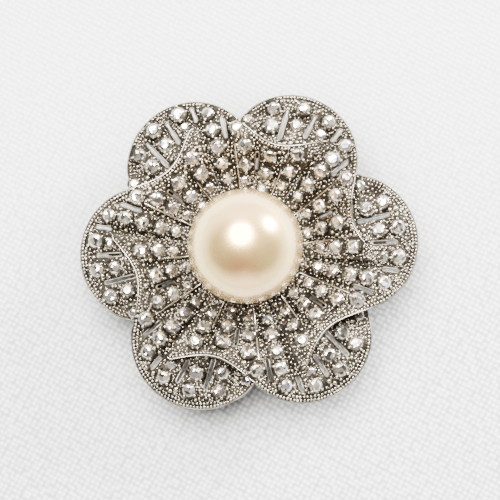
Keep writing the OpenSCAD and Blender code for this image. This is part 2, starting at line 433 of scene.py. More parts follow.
class Nodes:
    """A material's node tree, with short ways to add and link its nodes."""

    def __init__(self, name):
        self.material = bpy.data.materials.new(name)
        self.material.use_nodes = True
        self.tree = self.material.node_tree
        self.tree.nodes.clear()
        self.out = self.add("ShaderNodeOutputMaterial")
        self.shader = self.add("ShaderNodeBsdfPrincipled")
        self.link(self.shader.outputs[0], self.out.inputs["Surface"])
        self.where = self.add("ShaderNodeTexCoord").outputs["Object"]

    def add(self, kind, **settings):
        node = self.tree.nodes.new(kind)
        for key, value in settings.items():
            setattr(node, key, value)
        return node

    def link(self, a, b):
        self.tree.links.new(a, b)

    def set(self, **values):
        for key, value in values.items():
            self.shader.inputs[key.replace("_", " ")].default_value = value

    def noise(self, scale, detail=3, roughness=0.5, where=None):
        node = self.add("ShaderNodeTexNoise")
        node.inputs["Scale"].default_value = scale
        node.inputs["Detail"].default_value = detail
        node.inputs["Roughness"].default_value = roughness
        self.link(where or self.where, node.inputs["Vector"])
        return node.outputs["Fac"]

    def ramp(self, fac, *stops):
        node = self.add("ShaderNodeValToRGB")
        elements = node.color_ramp.elements
        while len(elements) < len(stops):
            elements.new(0.5)
        for element, (at, colour) in zip(elements, stops):
            element.position = at
            element.color = (*colour, 1)
        self.link(fac, node.inputs["Fac"])
        return node.outputs["Color"]

    def range(self, value, low, high, from_low=0.0, from_high=1.0):
        node = self.add("ShaderNodeMapRange")
        self.link(value, node.inputs["Value"])
        ends = {"From Min": from_low, "From Max": from_high, "To Min": low, "To Max": high}
        for key, number in ends.items():
            node.inputs[key].default_value = number
        return node.outputs["Result"]

    def mix(self, fac, a, b, blend="MIX"):
        node = self.add("ShaderNodeMix", data_type="RGBA", blend_type=blend)
        for socket, value in (("Factor", fac), ("A", a), ("B", b)):
            self.feed(node.inputs[socket], value)
        return node.outputs["Result"]

    def feed(self, socket, value):
        if isinstance(value, bpy.types.NodeSocket):
            self.link(value, socket)
        elif isinstance(value, (int, float)):
            socket.default_value = value
        else:
            socket.default_value = (*value, 1)

    def bump(self, value, strength, distance, normal=None):
        node = self.add("ShaderNodeBump")
        node.inputs["Strength"].default_value = strength
        node.inputs["Distance"].default_value = distance
        self.link(value, node.inputs["Height"])
        if normal:
            self.link(normal, node.inputs["Normal"])
        return node.outputs["Normal"]

    def occlusion(self, distance):
        node = self.add("ShaderNodeAmbientOcclusion", samples=6, only_local=False)
        node.inputs["Distance"].default_value = distance
        return node.outputs["AO"]


WHITE = (1.0, 1.0, 1.0)
BLACK = (0.0, 0.0, 0.0)
BLUE_FIRE = (0.3, 0.38, 0.95)
THREAD_TOP = (0.9, 0.94, 0.99)
THREAD_GAP = (0.41, 0.435, 0.47)
PRESSED_CLOTH = (0.77, 0.8, 0.84)
SHADED = (0.42, 0.42, 0.42)


def dimmed(colour, share):
    return tuple(c * share for c in colour)


def material(name, make):
    """The material of that name, made the first time it is asked for."""
    return bpy.data.materials.get(name) or make(name)


def bright_silver(name):
    """Polished high spots: beads, prongs and edge wires, dark where they meet the sheet."""
    finishes = bpy.context.scene.clip_finishes
    n = Nodes(name)
    worn = n.noise(900, 4, 0.6)
    colour = n.ramp(worn, (0.33, dimmed(finishes.silver, 0.36)), (0.62, tuple(finishes.silver)))
    colour = n.mix(n.range(n.noise(100, 2), 0.95, 0, 0.37, 0.6), colour, dimmed(finishes.silver, 0.35))
    open_ = n.range(n.occlusion(0.4 * MM), 0, 1, 0.22, 0.78)
    n.link(n.mix(open_, tuple(finishes.patina), colour), n.shader.inputs["Base Color"])
    n.link(n.range(worn, 0.12, 0.27), n.shader.inputs["Roughness"])
    n.link(n.bump(n.noise(2600, 2), 0.25, 0.03 * MM), n.shader.inputs["Normal"])
    n.set(Metallic=1.0)
    return n.material


def dark_silver(name):
    """The cast ground between the beads: rubbed grains that stand out of the black antique finish."""
    finishes = bpy.context.scene.clip_finishes
    n = Nodes(name)
    grains = n.add("ShaderNodeTexVoronoi", feature="F1")
    grains.inputs["Scale"].default_value = 2600
    n.link(n.where, grains.inputs["Vector"])
    height_ = n.range(grains.outputs["Distance"], 1, 0, 0.1, 0.6)
    rubbed = n.mix(n.range(n.noise(420, 4, 0.65), 0, 1, 0.36, 0.6), BLACK, height_)
    colour = n.ramp(rubbed, (0.12, tuple(finishes.patina)), (0.4, dimmed(finishes.patina, 6.5)),
                    (0.7, dimmed(finishes.silver, 0.85)))
    n.link(colour, n.shader.inputs["Base Color"])
    n.link(n.range(rubbed, 0.55, 0.25), n.shader.inputs["Roughness"])
    n.link(n.bump(n.noise(1500, 5, 0.65), 0.4, 0.1 * MM, n.bump(height_, 0.7, 0.12 * MM)),
           n.shader.inputs["Normal"])
    n.set(Metallic=0.9)
    return n.material


def cast_silver(name):
    """The plain back of the castings, silvery with a grey bloom."""
    finishes = bpy.context.scene.clip_finishes
    n = Nodes(name)
    bloom = n.noise(260, 5, 0.6)
    colour = n.ramp(bloom, (0.3, dimmed(finishes.silver, 0.1)), (0.7, dimmed(finishes.silver, 0.36)))
    open_ = n.range(n.occlusion(0.8 * MM), 0, 1, 0.2, 0.8)
    n.link(n.mix(open_, dimmed(finishes.patina, 1.5), colour), n.shader.inputs["Base Color"])
    n.link(n.range(bloom, 0.45, 0.22), n.shader.inputs["Roughness"])
    n.link(n.bump(n.noise(1800, 4, 0.7), 0.5, 0.08 * MM), n.shader.inputs["Normal"])
    n.set(Metallic=1.0)
    return n.material


def foiled_stone(name):
    """Clear glass over a foiled back: small tilted patches across the table, each with a painted reflection
    of the cut back, from dark to bright.
    """
    finishes = bpy.context.scene.clip_finishes
    n = Nodes(name)
    cells = n.add("ShaderNodeTexVoronoi", feature="F1")
    cells.inputs["Scale"].default_value = 1650
    n.link(n.where, cells.inputs["Vector"])
    middle = n.add("ShaderNodeVectorMath", operation="DISTANCE")
    middle.inputs[1].default_value = (0.5, 0.5, 0)
    n.link(n.add("ShaderNodeUVMap", uv_map=CUT_MAP).outputs["UV"], middle.inputs[0])
    from_table = middle.outputs["Value"]
    tilt = n.add("ShaderNodeVectorMath", operation="SUBTRACT")
    tilt.inputs[1].default_value = (0.5, 0.5, 0.5)
    n.link(cells.outputs["Color"], tilt.inputs[0])
    lean = n.add("ShaderNodeVectorMath", operation="SCALE")
    n.link(n.range(from_table, 0.42, 0.3, 0.2, 0.42), lean.inputs["Scale"])
    n.link(tilt.outputs[0], lean.inputs[0])
    sum_ = n.add("ShaderNodeVectorMath", operation="ADD")
    n.link(n.add("ShaderNodeNewGeometry").outputs["Normal"], sum_.inputs[0])
    n.link(lean.outputs[0], sum_.inputs[1])
    unit = n.add("ShaderNodeVectorMath", operation="NORMALIZE")
    n.link(sum_.outputs[0], unit.inputs[0])
    n.link(unit.outputs[0], n.shader.inputs["Normal"])
    split = n.add("ShaderNodeSeparateColor")
    n.link(cells.outputs["Color"], split.inputs["Color"])
    # Painted reflections: each patch's colour is painted from nearly black to bright, with a few painted
    # white glints and blue fire flashes.
    painted_foil_reflections = n.ramp(
        split.outputs["Red"],
        (0.0, dimmed(finishes.stone, 0.06)), (0.25, dimmed(finishes.stone, 0.2)),
        (0.45, dimmed(finishes.stone, 0.85)), (0.55, tuple(finishes.stone)),
        (0.985, WHITE), (0.992, BLUE_FIRE))
    # Painted shade: a darker grey ring is painted over the crown round the table.
    crown = n.range(from_table, 0, 0.8, 0.28, 0.42)
    cut_ = n.mix(crown, painted_foil_reflections, dimmed(finishes.stone, 0.42))
    dull = n.range(n.noise(330, 0), 0.5, 0, 0.38, 0.52)
    n.link(n.mix(dull, cut_, dimmed(finishes.stone, 0.1)), n.shader.inputs["Base Color"])
    n.set(Metallic=0.85, Roughness=0.06, Coat_Weight=1.0, Coat_Roughness=0.02)
    return n.material


def pearl_coat(name):
    """Cream pearl lacquer: mica flakes mirror the room softly under a clear glossy skin, with a darker rosy
    reflection painted on its upper face.
    """
    finishes = bpy.context.scene.clip_finishes
    n = Nodes(name)
    cloud = n.noise(95, 3, 0.5)
    red, green, blue = finishes.pearl
    colour = n.ramp(
        cloud,
        (0.35, (red * 0.97, green * 0.88, blue * 1.02)), (0.65, (red, green * 1.06, blue * 0.98)))
    # Painted reflection: a darker rosy patch is painted on the pearl's upper face, fading out between 0.5 and
    # 3.8 mm from its centre.
    from_painted_reflection = n.add("ShaderNodeVectorMath", operation="DISTANCE")
    from_painted_reflection.inputs[1].default_value = tuple(at * MM for at in PAINTED_REFLECTION_PLACE)
    n.link(n.where, from_painted_reflection.inputs[0])
    painted_reflection = n.range(from_painted_reflection.outputs["Value"], 0.95, 0, 0.5 * MM, 3.8 * MM)
    n.link(n.mix(painted_reflection, colour, (red * 0.86, green * 0.64, blue * 0.66)), n.shader.inputs["Base Color"])
    n.link(n.range(n.noise(500, 3), 0.24, 0.3), n.shader.inputs["Roughness"])
    n.link(n.bump(n.noise(420, 2), 0.04, 0.02 * MM), n.shader.inputs["Normal"])
    n.set(Metallic=0.8, Coat_Weight=1.0, Coat_Roughness=0.08, Coat_IOR=1.8)
    return n.material


def plated_steel(name):
    """Nickel plate over drawn strip, with fine lines along its length, small scratches and painted shade in
    its hollows.
    """
    finishes = bpy.context.scene.clip_finishes
    n = Nodes(name)
    stretch = n.add("ShaderNodeMapping")
    stretch.inputs["Scale"].default_value = (60, 2600, 2600)
    n.link(n.where, stretch.inputs["Vector"])
    lines = n.noise(1, 3, 0.6, where=stretch.outputs["Vector"])
    stain = n.noise(180, 4, 0.6)
    colour = n.ramp(stain, (0.25, dimmed(finishes.steel, 0.7)), (0.6, tuple(finishes.steel)))
    # Painted shade: the steel is darkened towards a fifth of its colour where nearby parts hide it, within
    # 0.7 mm.
    open_ = n.range(n.occlusion(0.7 * MM), 0, 1, 0.15, 0.7)
    n.link(n.mix(open_, dimmed(finishes.steel, 0.2), colour), n.shader.inputs["Base Color"])
    n.link(n.range(lines, 0.16, 0.36), n.shader.inputs["Roughness"])
    n.link(n.bump(lines, 0.2, 0.02 * MM), n.shader.inputs["Normal"])
    n.set(Metallic=1.0)
    return n.material


def spring_wire(name):
    """Bright drawn wire with faint rings of oil tint."""
    finishes = bpy.context.scene.clip_finishes
    n = Nodes(name)
    tint = n.noise(700, 3, 0.6)
    colour = n.ramp(tint, (0.3, dimmed(finishes.steel, 0.5)), (0.7, dimmed(finishes.steel, 0.95)))
    n.link(colour, n.shader.inputs["Base Color"])
    n.link(n.range(tint, 0.2, 0.38), n.shader.inputs["Roughness"])
    n.link(n.bump(n.noise(3200, 2), 0.2, 0.02 * MM), n.shader.inputs["Normal"])
    n.set(Metallic=1.0)
    return n.material


def pale_cloth(name):
    """The plain pale floor, with a fine even weave that is pressed flatter towards the back."""
    n = Nodes(name)
    slant = n.add("ShaderNodeMapping")
    slant.inputs["Rotation"].default_value = (0, 0, math.radians(28))
    n.link(n.where, slant.inputs["Vector"])
    weave = n.add("ShaderNodeTexVoronoi", feature="SMOOTH_F1")
    weave.inputs["Scale"].default_value = 1200
    weave.inputs["Randomness"].default_value = 0.25
    n.link(slant.outputs["Vector"], weave.inputs["Vector"])
    split = n.add("ShaderNodeSeparateXYZ")
    n.link(n.where, split.inputs[0])
    worn = n.range(split.outputs["Y"], 1, 0.3, -15 * MM, 35 * MM)
    colour = n.ramp(weave.outputs["Distance"], (0.2, THREAD_TOP), (0.5, THREAD_GAP))
    # Painted shadow: the floor is darkened towards SHADED where the flower stands over it or close by, within
    # 18 mm.
    open_ = n.range(n.occlusion(18 * MM), 0, 1, 0.4, 0.9)
    shade = n.mix(open_, SHADED, WHITE)
    cloth = n.mix(1.0, n.mix(worn, PRESSED_CLOTH, colour), shade, "MULTIPLY")
    n.link(cloth, n.shader.inputs["Base Color"])
    n.link(n.bump(weave.outputs["Distance"], 0.8, 0.3 * MM), n.shader.inputs["Normal"])
    n.set(Roughness=0.85)
    return n.material


# ---------------------------------------------------------------- petals

def petal_sheet(reach):
    """The curved sheet of one petal, with grooves in its upper face only."""
    deselect()
    columns = TUCKED_COLUMNS + OPEN_COLUMNS
    bpy.ops.mesh.primitive_grid_add(x_subdivisions=columns, y_subdivisions=ROWS, size=2)
    obj = bpy.context.object
    flat = coordinates(obj.data)
    across = (flat[:, 0] + 1) / 2 * columns
    up = (flat[:, 1] + 1) / 2 * ROWS
    a = np.where(
        across <= TUCKED_COLUMNS,
        TUCK_ANGLE + (SEAM_ANGLE - TUCK_ANGLE) * across / TUCKED_COLUMNS,
        SEAM_ANGLE + (END_ANGLE - SEAM_ANGLE) * (across - TUCKED_COLUMNS) / OPEN_COLUMNS)
    r = np.where(
        up <= INNER_ROWS,
        HUB_RADIUS + (TUCK_RADIUS - HUB_RADIUS) * up / INNER_ROWS,
        TUCK_RADIUS + (rim(a) * reach - TUCK_RADIUS) * (up - INNER_ROWS) / (ROWS - INNER_ROWS))
    select_faces(obj, lambda centre, normal: (
        (centre.x + 1) / 2 * columns < TUCKED_COLUMNS and (centre.y + 1) / 2 * ROWS < INNER_ROWS))
    bpy.ops.mesh.delete(type="FACE")
    object_mode()
    kept = np.round(coordinates(obj.data), 5)
    index = {tuple(spot): k for k, spot in enumerate(np.round(flat, 5))}
    order = [index[tuple(spot)] for spot in kept]
    place_vertices(obj, on_surface(r[order], a[order]) * MM)
    modify(obj, "SOLIDIFY", thickness=bpy.context.scene.flower_sizes.petal_thickness, offset=-1)
    co = coordinates(obj.data)
    co[:len(order), 2] = creased(r[order], a[order]) * MM
    place_vertices(obj, co)
    modify(obj, "BEVEL", width=PETAL_EASE * MM, segments=2, limit_method="ANGLE", angle_limit=BEVEL_ANGLE)
    return obj


def slot_cutter(slot):
    """An upright bar with round ends, from one end of a slot to the other."""
    angle, inner, outer = slot
    deselect()
    bpy.ops.mesh.primitive_cylinder_add(vertices=16, radius=SLOT_RADIUS * MM, depth=12 * MM)
    obj = bpy.context.object
    co = coordinates(obj.data)
    co[:, 0] += np.where(co[:, 0] > 0, outer, inner) * MM
    place_vertices(obj, co)
    obj.data.transform(Matrix.Rotation(math.radians(angle), 4, "Z"))
    obj.data.transform(Matrix.Translation((0, 0, 8 * MM)))
    return obj


def slot_wire(slot):
    """The smooth wire round a slot's mouth."""
    angle, inner, outer = slot
    turn = np.radians(np.linspace(-90, 90, 7))
    half = SLOT_RADIUS - SLOT_WIRE_INSET
    outline = np.r_[
        np.c_[outer + half * np.cos(turn), half * np.sin(turn)],
        np.c_[inner - half * np.cos(turn), -half * np.sin(turn)]]
    steps = []
    for start, end in zip(outline, np.roll(outline, -1, axis=0)):
        count = max(1, int(np.linalg.norm(end - start) / WIRE_STEP))
        steps += [start + (end - start) * k / count for k in range(count)]
    line = np.array(steps)
    r, a = polar(line)
    path = on_surface(r, a + angle, creased) + (0, 0, SLOT_WIRE_LIFT)
    return wire("slot_wire", path * MM, SLOT_WIRE_RADIUS * MM, closed=True)


def rib_wire(rib):
    """A smooth rib that runs out from the pearl beside a groove."""
    angle, inner, outer = rib
    r = np.linspace(inner, outer, 24)
    path = on_surface(r, np.full_like(r, angle), creased) + (0, 0, RIB_LIFT)
    return wire("rib_wire", path * MM, RIB_RADIUS * MM)


def edge_line(reach, inset):
    """Evenly spaced points along a petal's free outline, set in from it by inset."""
    a = np.linspace(END_ANGLE + 0.2, 30, 400)
    r = rim(a) * reach
    line = np.c_[r * np.cos(np.radians(a)), r * np.sin(np.radians(a))]
    along = np.gradient(line, axis=0)
    along /= np.linalg.norm(along, axis=1, keepdims=True)
    return line + inset * np.c_[-along[:, 1], along[:, 0]]


def evenly(line, step):
    """Points along line, a step apart."""
    lengths = np.r_[0, np.cumsum(np.linalg.norm(np.diff(line, axis=0), axis=1))]
    at = np.arange(0, lengths[-1], step)
    return np.c_[np.interp(at, lengths, line[:, 0]), np.interp(at, lengths, line[:, 1])]


def edge_wire(reach):
    """The smooth wire along a petal's free outline."""
    r, a = polar(evenly(edge_line(reach, EDGE_WIRE_INSET), WIRE_STEP))
    path = on_surface(r, a) + (0, 0, EDGE_WIRE_LIFT)
    return wire("edge_wire", path * MM, bpy.context.scene.flower_sizes.wire_radius)


def ray(angle):
    """Unit vector outward at that angle."""
    return np.array([math.cos(math.radians(angle)), math.sin(math.radians(angle))])


def bead_spots(reach, cover, rng):
    """Where a petal's beads sit and their sizes: milgrain rows along its edges, then a close mixed fill."""
    stones = bpy.context.scene.stone_sizes
    milgrain = stones.bead_radius / MM
    edge_row, lobe_row = (
        evenly(edge_line(reach, inset), step * milgrain) for inset, step in (EDGE_ROW, LOBE_ROW))
    rows = np.concatenate([edge_row, lobe_row[polar(lobe_row)[1] > FOLD_ANGLE]])
    tries = [(rows, ROW_BEAD * milgrain)]
    for share, count in FILL_BEADS:
        a = np.radians(rng.uniform(*FILL_ANGLES, count))
        r = np.sqrt(rng.uniform(HUB_RADIUS ** 2, FILL_REACH ** 2, count))
        tries.append((np.c_[r * np.cos(a), r * np.sin(a)], share * milgrain))
    kept, sizes = np.empty((0, 2)), np.empty(0)
    for spots, size in tries:
        r, a = polar(spots)
        covered = (a > SEAM_ANGLE + 0.2) & (r < rim(a - SECTOR) * cover + 0.25)
        free = (r > HUB_RADIUS + 0.5) & (r < rim(a) * reach - 0.2 - size) & ~covered & (a > END_ANGLE + 0.7)
        for seats, radius in ((LARGE_SEATS, stones.large_radius), (SMALL_SEATS, stones.small_radius)):
            for angle, at in seats:
                centre = at * ray(angle)
                free &= np.linalg.norm(spots - centre, axis=1) > 1.12 * radius / MM + 0.7 * size
        for room, bars in ((SLOT_RADIUS + 0.16, SLOTS), (RIB_RADIUS, RIBS)):
            for angle, inner, outer in bars:
                along = ray(angle)
                near = along * np.clip(spots @ along, inner, outer)[:, None]
                free &= np.linalg.norm(spots - near, axis=1) > room + 0.8 * size
        for spot in spots[free]:
            if not len(kept) or np.all(np.linalg.norm(kept - spot, axis=1) > 0.9 * (sizes + size)):
                kept, sizes = np.vstack([kept, spot]), np.append(sizes, size)
    slipped = kept + rng.uniform(-BEAD_SLIP, BEAD_SLIP, kept.shape)
    return slipped, sizes * rng.uniform(*BEAD_SCALES, len(sizes)) * MM


def bead_seed():
    """A bead of radius 1 with a flat underside."""
    deselect()
    bpy.ops.mesh.primitive_uv_sphere_add(segments=7, ring_count=4, radius=1)
    obj = bpy.context.object
    bpy.ops.object.shade_smooth()
    bpy.ops.object.mode_set(mode="EDIT")
    bpy.ops.mesh.select_all(action="SELECT")
    bpy.ops.mesh.bisect(plane_co=(0, 0, -0.3), plane_no=(0, 0, 1), clear_inner=True, use_fill=True)
    object_mode()
    return named(obj, "bead_seed")


def setting_seed(dark, bright):
    """A sunk collar with four prongs, for a stone of radius 1."""
    deselect()
    bpy.ops.mesh.primitive_cone_add(vertices=24, radius1=1.3, radius2=1.06, depth=0.26, location=(0, 0, 0.02))
    collar = bpy.context.object
    bpy.ops.object.transform_apply(location=True)
    select_faces(collar, lambda centre, normal: normal.z > 0.9)
    bpy.ops.mesh.inset(thickness=0.06)
    bpy.ops.mesh.extrude_region_move(TRANSFORM_OT_translate={"value": (0, 0, -0.55)})
    bpy.ops.transform.resize(value=(0.5, 0.5, 1))
    object_mode()
    activate(collar)
    bpy.ops.object.shade_smooth_by_angle(angle=TURNED_SHARP_ANGLE)
    collar.data.materials.append(dark)
    prongs = []
    for k in range(4):
        turn = math.radians(45 + 90 * k)
        deselect()
        bpy.ops.mesh.primitive_uv_sphere_add(segments=8, ring_count=6, radius=0.24)
        prong = bpy.context.object
        prong.data.transform(Matrix.Diagonal((1.1, 0.9, 1.0, 1)))
        prong.data.transform(Matrix.Translation((1.04, 0, 0.16)))
        prong.data.transform(Matrix.Rotation(turn, 4, "Z"))
        bpy.ops.object.shade_smooth()
        prong.data.materials.append(bright)
        prongs.append(prong)
    return named(join(collar, *prongs), "setting_seed")


def seat_frames(seats, radius, petal):
    """Places, axes and scales for the pieces at seats, each set by hand a little off its place and square."""
    rng = np.random.default_rng((bpy.context.scene.stone_sizes.seed, petal, len(seats)))
    a, r = np.array(seats, float).T
    out, round_, normal = local_axes(r, a)
    slip = rng.uniform(-STONE_SLIP, STONE_SLIP, (2, len(r)))
    lean = rng.uniform(-STONE_LEAN, STONE_LEAN, (2, len(r)))
    normal = normal + out * lean[0][:, None] + round_ * lean[1][:, None]
    normal /= np.linalg.norm(normal, axis=1, keepdims=True)
    turn = rng.uniform(0, 2 * math.pi, len(r))
    x = out * np.cos(turn)[:, None] + round_ * np.sin(turn)[:, None]
    y = np.cross(normal, x)
    y /= np.linalg.norm(y, axis=1, keepdims=True)
    turns = np.stack([np.cross(y, normal), y, normal], axis=-1)
    places = on_surface(r, a) + out * slip[0][:, None] + round_ * slip[1][:, None]
    return places * MM, turns, radius * rng.uniform(*STONE_SCALES, len(r))


class HAIRCLIP_OT_petals(bpy.types.Operator):
    """Build the six petals with their settings, slots, edge wires and beads"""
    bl_idname = "hairclip.petals"
    bl_label = "Petals"

    def execute(self, context):
        stones = context.scene.stone_sizes
        dark = material("Patinated silver", dark_silver)
        bright = material("Bright silver", bright_silver)
        back = material("Cast silver back", cast_silver)
        bead, setting = bead_seed(), setting_seed(dark, bright)
        for k, reach in enumerate(REACHES):
            rng = np.random.default_rng(stones.seed + k)
            sheet = petal_sheet(reach)
            cut(sheet, *[slot_cutter(s) for s in SLOTS])
            for m in (dark, bright, back):
                sheet.data.materials.append(m)
            for face in sheet.data.polygons:
                face.material_index = 0 if face.normal.z > 0.35 else 2
            activate(sheet)
            bpy.ops.object.shade_smooth_by_angle(angle=SHARP_ANGLE)
            edge, slots, ribs = edge_wire(reach), [slot_wire(s) for s in SLOTS], [rib_wire(r) for r in RIBS]
            for w in (edge, *slots, *ribs):
                w.data.materials.append(bright)
                w.data.materials.append(back)
            for face in edge.data.polygons:
                angle = math.degrees(math.atan2(face.center.y, face.center.x))
                face.material_index = int(angle > FOLD_ANGLE + 2)
            for w in slots:
                for face in w.data.polygons:
                    face.material_index = 1
            spots, radii = bead_spots(reach, REACHES[(k + 1) % PETALS], rng)
            r, a = polar(spots)
            out, round_, normal = local_axes(r, a)
            beads = stamp("beads", bead, on_surface(r, a, creased) * MM,
                          np.stack([out, round_, normal], axis=-1), radii, [bright])
            collars = [
                stamp("collars", setting, *seat_frames(seats, radius, k), [dark, bright])
                for seats, radius in (
                    (LARGE_SEATS, stones.large_radius), (SMALL_SEATS, stones.small_radius))]
            join(sheet, edge, *slots, *ribs, beads, *collars)
            finish_piece(sheet, f"cast_petal_{k + 1}", "upper", f"petal_{k + 1}",
                         FIRST_PETAL + SECTOR * k)
        remove(bead, setting)
        return {"FINISHED"}


# ---------------------------------------------------------------- stones

def brilliant_seed():
    """A round brilliant for a seat of radius 1, whose girdle starts just above it."""
    half_facet = math.radians(360 / 16 / 2)
    deselect()
    bpy.ops.mesh.primitive_cylinder_add(vertices=16, radius=GIRDLE_SHARE, depth=0.1, location=(0, 0, 0.11))
    obj = bpy.context.object
    bpy.ops.object.transform_apply(location=True)
    select_faces(obj, lambda centre, normal: normal.z > 0.9)
    for up, scale in ((0.17, 0.8), (0.11, 0.68)):
        pull_face(up, scale)
        bpy.ops.transform.rotate(value=half_facet, orient_axis="Z", center_override=(0, 0, 0))
    object_mode()
    select_faces(obj, lambda centre, normal: normal.z < -0.9)
    pull_face(-0.6, 0.25)
    bpy.ops.mesh.select_all(action="SELECT")
    bpy.ops.mesh.quads_convert_to_tris(quad_method="SHORTEST_DIAGONAL")
    object_mode()
    bpy.ops.object.shade_flat()
    return named(obj, "brilliant_seed")


def set_stones(size, seats, radius):
    """Sets every petal's stones of one size, one piece for each petal."""
    seed = brilliant_seed()
    glass = material("Foiled clear stone", foiled_stone)
    for k in range(PETALS):
        obj = stamp("stones", seed, *seat_frames(seats, radius, k), [glass])
        face_up = np.tile(coordinates(seed.data)[:, :2], (len(seats), 1)) / 2 + 0.5
        corners = np.empty(len(obj.data.loops), np.int32)
        obj.data.loops.foreach_get("vertex_index", corners)
        layer = obj.data.uv_layers.new(name=CUT_MAP)
        layer.data.foreach_set("uv", face_up[corners].astype(np.float32).ravel())
        finish_piece(obj, f"set_{size}_stones_{k + 1}", "upper", f"{size}_stones_{k + 1}",
                     FIRST_PETAL + SECTOR * k)
    remove(seed)


class HAIRCLIP_OT_large_stones(bpy.types.Operator):
    """Set the large stones of the six petals"""
    bl_idname = "hairclip.large_stones"
    bl_label = "Large stones"

    def execute(self, context):
        set_stones("large", LARGE_SEATS, context.scene.stone_sizes.large_radius)
        return {"FINISHED"}


class HAIRCLIP_OT_small_stones(bpy.types.Operator):
    """Set the small stones of the six petals"""
    bl_idname = "hairclip.small_stones"
    bl_label = "Small stones"

    def execute(self, context):
        set_stones("small", SMALL_SEATS, context.scene.stone_sizes.small_radius)
        return {"FINISHED"}


# ---------------------------------------------------------------- pearl and clip

class HAIRCLIP_OT_pearl(bpy.types.Operator):
    """Build the half-drilled pearl"""
    bl_idname = "hairclip.pearl"
    bl_label = "Pearl"

    def execute(self, context):
        low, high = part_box("pearl")
        radius = (high.z - low.z) / 2
        deselect()
        bpy.ops.mesh.primitive_uv_sphere_add(segments=96, ring_count=48, radius=radius,
                                             location=(0, 0, (low.z + high.z) / 2))
        pearl = bpy.context.object
        bpy.ops.object.transform_apply(location=True)
        deselect()
        bpy.ops.mesh.primitive_cylinder_add(vertices=32, radius=DRILL_RADIUS * MM, depth=radius,
                                            location=(0, 0, low.z))
        cut(pearl, bpy.context.object)
        pearl.data.materials.clear()
        pearl.data.materials.append(material("Pearl coat", pearl_coat))
        activate(pearl)
        bpy.ops.object.shade_smooth_by_angle(angle=TURNED_SHARP_ANGLE)
        finish_piece(pearl, "half_drilled_pearl", "upper", "pearl")
        return {"FINISHED"}


def eased_copy(node, name, body, finish, ease):
    """A copy of a CAD node with its sharp edges eased by that many millimetres."""
    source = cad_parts[node]
    obj = bpy.data.objects.new(name, source.data.copy())
    bpy.context.scene.collection.objects.link(obj)
    activate(obj)
    bpy.ops.object.mode_set(mode="EDIT")
    bpy.ops.mesh.select_all(action="SELECT")
    bpy.ops.mesh.remove_doubles(threshold=1e-6)
    bpy.ops.mesh.dissolve_limited(angle_limit=math.radians(1))
    object_mode()
    modify(obj, "BEVEL", width=ease * MM, segments=2, limit_method="ANGLE", angle_limit=BEVEL_ANGLE)
    activate(obj)
    bpy.ops.object.shade_smooth_by_angle(angle=SHARP_ANGLE)
    obj.data.materials.clear()
    obj.data.materials.append(finish)
    for face in obj.data.polygons:
        face.material_index = 0
    return finish_piece(obj, name, body, node)


class HAIRCLIP_OT_mount(bpy.types.Operator):
    """Finish the cup, rivet, base disc and pad that hold the flower together"""
    bl_idname = "hairclip.mount"
    bl_label = "Cup, base and pad"

    def execute(self, context):
        back = material("Cast silver back", cast_silver)
        bright = material("Bright silver", bright_silver)
        steel = material("Plated steel", plated_steel)
        eased_copy("pearl_cup", "turned_pearl_cup", "upper", bright, CUP_EASE)
        eased_copy("peg_rivet", "headed_peg", "upper", bright, PEG_EASE)
        eased_copy("flower_base", "base_disc", "upper", back, DISC_EASE)
        eased_copy("clip_pad", "pad_disc", "upper", steel, DISC_EASE)
        return {"FINISHED"}


class HAIRCLIP_OT_arms(bpy.types.Operator):
    """Finish the clip's two arms"""
    bl_idname = "hairclip.arms"
    bl_label = "Clip arms"

    def execute(self, context):
        steel = material("Plated steel", plated_steel)
        eased_copy("upper_arm", "pressed_upper_arm", "upper", steel, ARM_EASE)
        eased_copy("lower_arm", "pressed_lower_arm", "lower", steel, ARM_EASE)
        return {"FINISHED"}


class HAIRCLIP_OT_hinge_pin(bpy.types.Operator):
    """Finish the headed hinge pin"""
    bl_idname = "hairclip.hinge_pin"
    bl_label = "Hinge pin"

    def execute(self, context):
        steel = material("Plated steel", plated_steel)
        eased_copy("hinge_pin", "headed_hinge_pin", "lower", steel, PIN_EASE)
        return {"FINISHED"}


class HAIRCLIP_OT_spring(bpy.types.Operator):
    """Coil the torsion spring round the pin, with one leg along each thumb tab"""
    bl_idname = "hairclip.spring"
    bl_label = "Torsion spring"

    def execute(self, context):
        turn = np.linspace(0, COIL_TURNS, COIL_POINTS)
        coil = np.c_[
            HINGE[0] + COIL_RADIUS * np.sin(2 * np.pi * turn),
            COIL_HALF - 2 * COIL_HALF * turn / COIL_TURNS,
            HINGE[2] + COIL_RADIUS * np.cos(2 * np.pi * turn)]
        upper = [[LEG_END, COIL_HALF, UPPER_LEG_HEIGHT],
                 [LEG_END + LEG_LENGTH, COIL_HALF, UPPER_LEG_HEIGHT - UPPER_LEG_DROP]]
        lower = [[LEG_END + LEG_LENGTH, -COIL_HALF, LOWER_LEG_HEIGHT + LOWER_LEG_RISE],
                 [LEG_END, -COIL_HALF, LOWER_LEG_HEIGHT]]
        spring = wire("sprung_wire", np.r_[upper, coil, lower] * MM, SPRING_WIRE_RADIUS * MM, sides=16)
        named(spring, "coiled_spring")
        spring.data.materials.append(material("Spring wire", spring_wire))
        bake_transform(spring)
        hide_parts("torsion_spring")
        return {"FINISHED"}


# ---------------------------------------------------------------- stage

# Camera: the point that it looks at, its width of view there and its distance in millimetres, and its lean
# from upright in degrees, towards that side
VIEW_AIM = (0.5, -0.11, 8.5)
VIEW_WIDTH = 80.6
VIEW_DISTANCE = 220.0
VIEW_TILT = 4.0
VIEW_SIDE = -64.0

# Lights as (name, direction, distance, size, power, colour), in metres and watts
LIGHTS = (
    ("key_light", (-0.12, 0.38, 1.0), 0.55, 0.44, 21, (1.0, 0.945, 0.87)),
    ("side_light", (0.75, 0.65, 0.42), 0.5, 0.15, 10, (1.0, 0.95, 0.89)),
)

